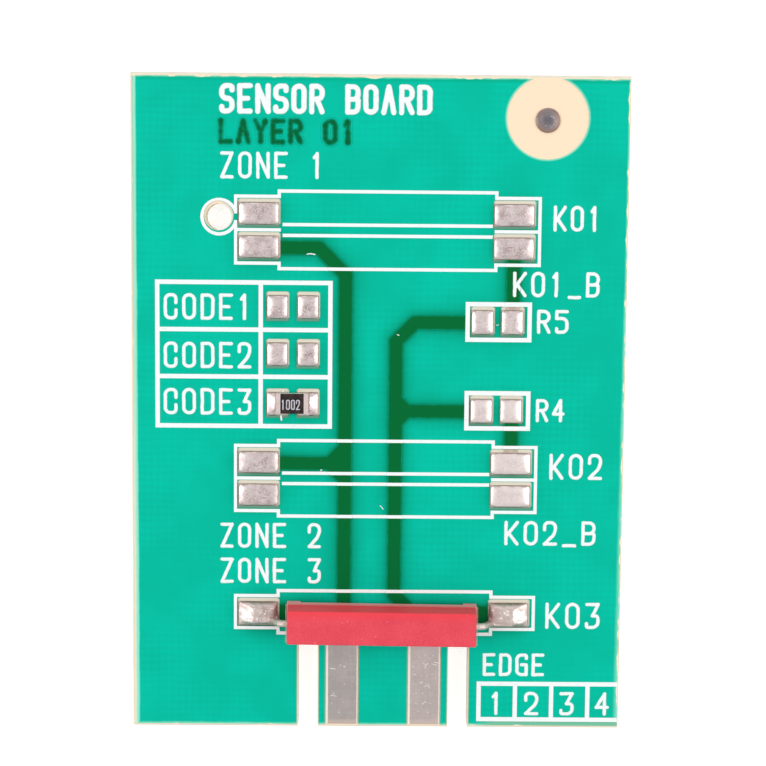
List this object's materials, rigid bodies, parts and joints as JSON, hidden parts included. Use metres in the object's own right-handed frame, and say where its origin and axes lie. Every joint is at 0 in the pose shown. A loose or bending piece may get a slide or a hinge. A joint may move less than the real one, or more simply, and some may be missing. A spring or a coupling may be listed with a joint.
{
  "type": "reed switch sensor board",
  "caption": "Small green circuit board with a red moulded reed switch, a chip resistor, empty tinned pads and a slotted tongue with edge fingers.",
  "frame": {"origin": "centre of the board's underside", "axes": "+Z out of the printed side, +X to the board's right, +Y to its top, with the tongue at -Y"},
  "size_m": [0.0302, 0.0402, 0.004],
  "materials": {
    "glass_epoxy": "cream woven glass and epoxy, fibrous at the scored edges",
    "green_mask": "green solder mask, darker where it lies over copper",
    "copper_foil": "etched copper foil, seen only at the rims of the pads",
    "tinned_pad": "grainy levelled tin",
    "solder_joint": "bright solder, grainy where it cooled last",
    "plated_cap": "plated end caps of the chip resistor",
    "alumina": "white fired ceramic",
    "black_glaze": "black glaze with a printed value",
    "capsule_glass": "clear sealed glass",
    "nickel_iron": "plated nickel-iron wire and blade",
    "white_ink": "screen-printed white ink, a little open at its edges",
    "red_moulding": "red moulding, fine satin grain"
  },
  "bodies": {
    "root": {"chip_cap_left": "plated_cap", "chip_cap_right": "plated_cap", "chip_ceramic": "alumina", "chip_glaze": "black_glaze", "copper_code_1_left": "copper_foil", "copper_code_1_right": "copper_foil", "copper_code_2_left": "copper_foil", "copper_code_2_right": "copper_foil", "copper_code_3_left": "copper_foil", "copper_code_3_right": "copper_foil", "copper_link_lower": "copper_foil", "copper_link_upper": "copper_foil", "copper_mark": "copper_foil", "copper_reed_1a_left": "copper_foil", "copper_reed_1a_right": "copper_foil", "copper_reed_2b_left": "copper_foil", "copper_reed_2b_right": "copper_foil", "copper_run_left": "copper_foil", "copper_run_right": "copper_foil", "ink_code_table": "white_ink", "ink_connector": "white_ink", "ink_load_1": "white_ink", "ink_load_2": "white_ink", "ink_reed_1": "white_ink", "ink_reed_1_lower_line": "white_ink", "ink_reed_1_upper_line": "white_ink", "ink_reed_2": "white_ink", "ink_reed_2_lower_line": "white_ink", "ink_reed_2_upper_line": "white_ink", "ink_reed_3": "white_ink", "laminate": "glass_epoxy", "reed_blade_left": "nickel_iron", "reed_blade_right": "nickel_iron", "reed_glass": "capsule_glass", "reed_moulding": "red_moulding", "solder_code_1_left": "tinned_pad", "solder_code_1_right": "tinned_pad", "solder_code_2_left": "tinned_pad", "solder_code_2_right": "tinned_pad", "solder_code_3_left": "solder_joint", "solder_code_3_right": "solder_joint", "solder_load_1_left": "tinned_pad", "solder_load_1_right": "tinned_pad", "solder_load_2_left": "tinned_pad", "solder_load_2_right": "tinned_pad", "solder_mask": "green_mask", "solder_reed_1a_left": "tinned_pad", "solder_reed_1a_right": "tinned_pad", "solder_reed_1b_left": "tinned_pad", "solder_reed_1b_right": "tinned_pad", "solder_reed_2a_left": "tinned_pad", "solder_reed_2a_right": "tinned_pad", "solder_reed_2b_left": "tinned_pad", "solder_reed_2b_right": "tinned_pad", "solder_reed_3_left": "solder_joint", "solder_reed_3_right": "solder_joint", "tin_finger_left": "tinned_pad", "tin_finger_right": "tinned_pad", "tin_mark": "tinned_pad"}
  },
  "joints": []
}
